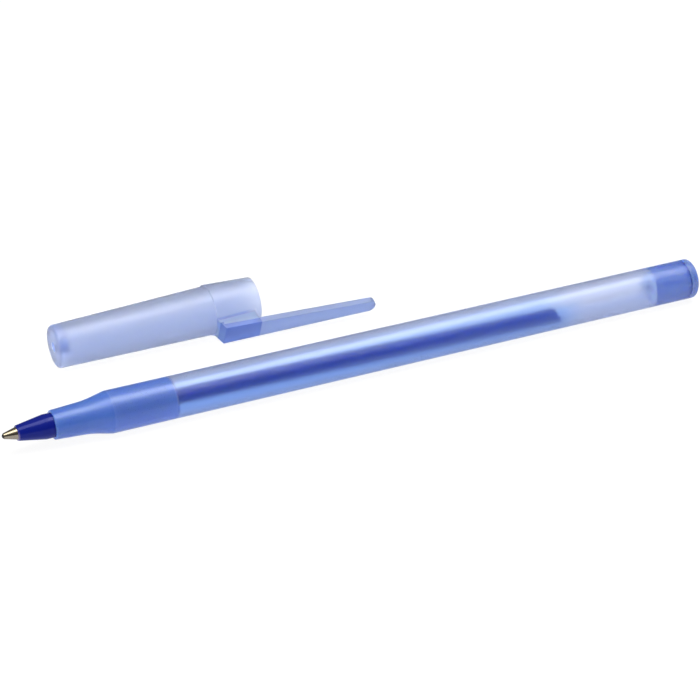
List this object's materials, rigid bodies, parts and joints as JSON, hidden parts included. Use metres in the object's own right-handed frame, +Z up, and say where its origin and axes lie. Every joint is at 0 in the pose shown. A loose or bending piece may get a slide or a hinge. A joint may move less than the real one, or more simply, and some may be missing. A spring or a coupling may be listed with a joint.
{
  "type": "stick ballpoint pen",
  "caption": "Stick ballpoint pen with a frosted translucent barrel, ink tube, metal ball point and end plug, lying beside its removable cap with a moulded clip.",
  "frame": {"origin": "on the table, under the middle of the box round the pen and its cap", "axes": "+X along the pen from its point to its end plug, +Y from the pen towards the cap, +Z up"},
  "size_m": [0.1453, 0.0368, 0.0102],
  "materials": {
    "barrel_plastic": "frosted translucent blue, satin",
    "holder_plastic": "navy, satin",
    "point_metal": "turned, bright",
    "ball_metal": "polished",
    "tube_plastic": "clear, slightly milky",
    "ink": "dark blue paste",
    "plug_plastic": "mid blue, satin",
    "cap_plastic": "frosted translucent blue, satin"
  },
  "bodies": {
    "pen": {"barrel": "barrel_plastic", "tip_holder": "holder_plastic", "point": "point_metal", "ink_tube": "tube_plastic", "ink": "ink", "end_plug": "plug_plastic"},
    "ball": {"ball": "ball_metal"},
    "cap": {"cap": "cap_plastic"}
  },
  "joints": [
    {"name": "ball_roll", "type": "hinge", "parent": "pen", "child": "ball", "pos_m": [-0.07215, -0.01437, 0.004], "axis": [0, 1, 0], "continuous": true},
    {"name": "cap_slide", "type": "slide", "parent": "pen", "child": "cap", "axis": [-1, 0, 0], "range_m": [0, 0.0611]}
  ]
}
